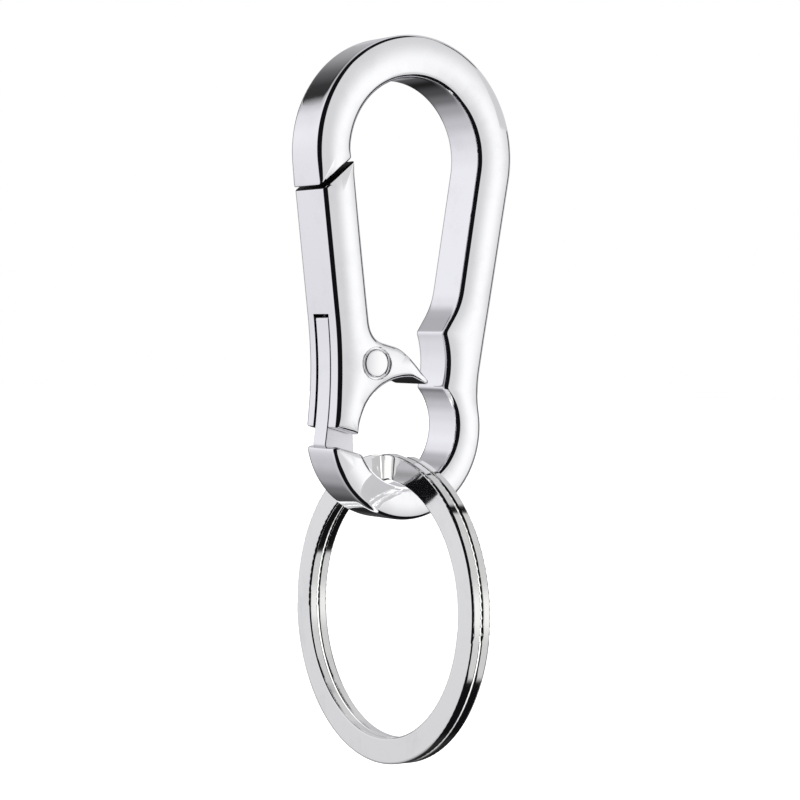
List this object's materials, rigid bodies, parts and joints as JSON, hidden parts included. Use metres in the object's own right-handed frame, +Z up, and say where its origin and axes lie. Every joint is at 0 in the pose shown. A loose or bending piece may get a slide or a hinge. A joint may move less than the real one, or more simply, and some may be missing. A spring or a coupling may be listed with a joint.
{
  "type": "carabiner key ring",
  "caption": "Flat pear-shaped snap hook with a sprung gate and a lower eye that carries a flat-wire split ring.",
  "frame": {"origin": "centre of the arch's round inside, half way through the hook's thickness", "axes": "+Z up from the eye towards the arch, +Y from the front face to the back face, +X from the gate towards the spine"},
  "size_m": [0.0231, 0.0304, 0.0712],
  "materials": {
    "frame_metal": "polished plating over zinc die casting",
    "gate_metal": "polished plating over zinc die casting",
    "pin_metal": "polished steel rivet",
    "spring_wire": "drawn spring wire",
    "ring_metal": "bright nickel plating, lightly brushed"
  },
  "bodies": {
    "frame": {"frame": "frame_metal", "return_spring": "spring_wire"},
    "gate": {"gate": "gate_metal", "pivot_pin": "pin_metal"},
    "ring": {"split_ring": "ring_metal"}
  },
  "joints": [
    {"name": "gate_hinge", "type": "hinge", "parent": "frame", "child": "gate", "pos_m": [-0.0042, 0, -0.0203], "axis": [0, 1, 0], "range_deg": [0, 25], "stiffness_Nm_per_rad": 0.02, "springref_deg": -20.05, "deforming": ["return_spring"]},
    {"name": "ring_swing", "type": "hinge", "parent": "frame", "child": "ring", "pos_m": [0, 0, -0.0379], "axis": [1, 0, 0], "range_deg": [-80, 80]}
  ]
}
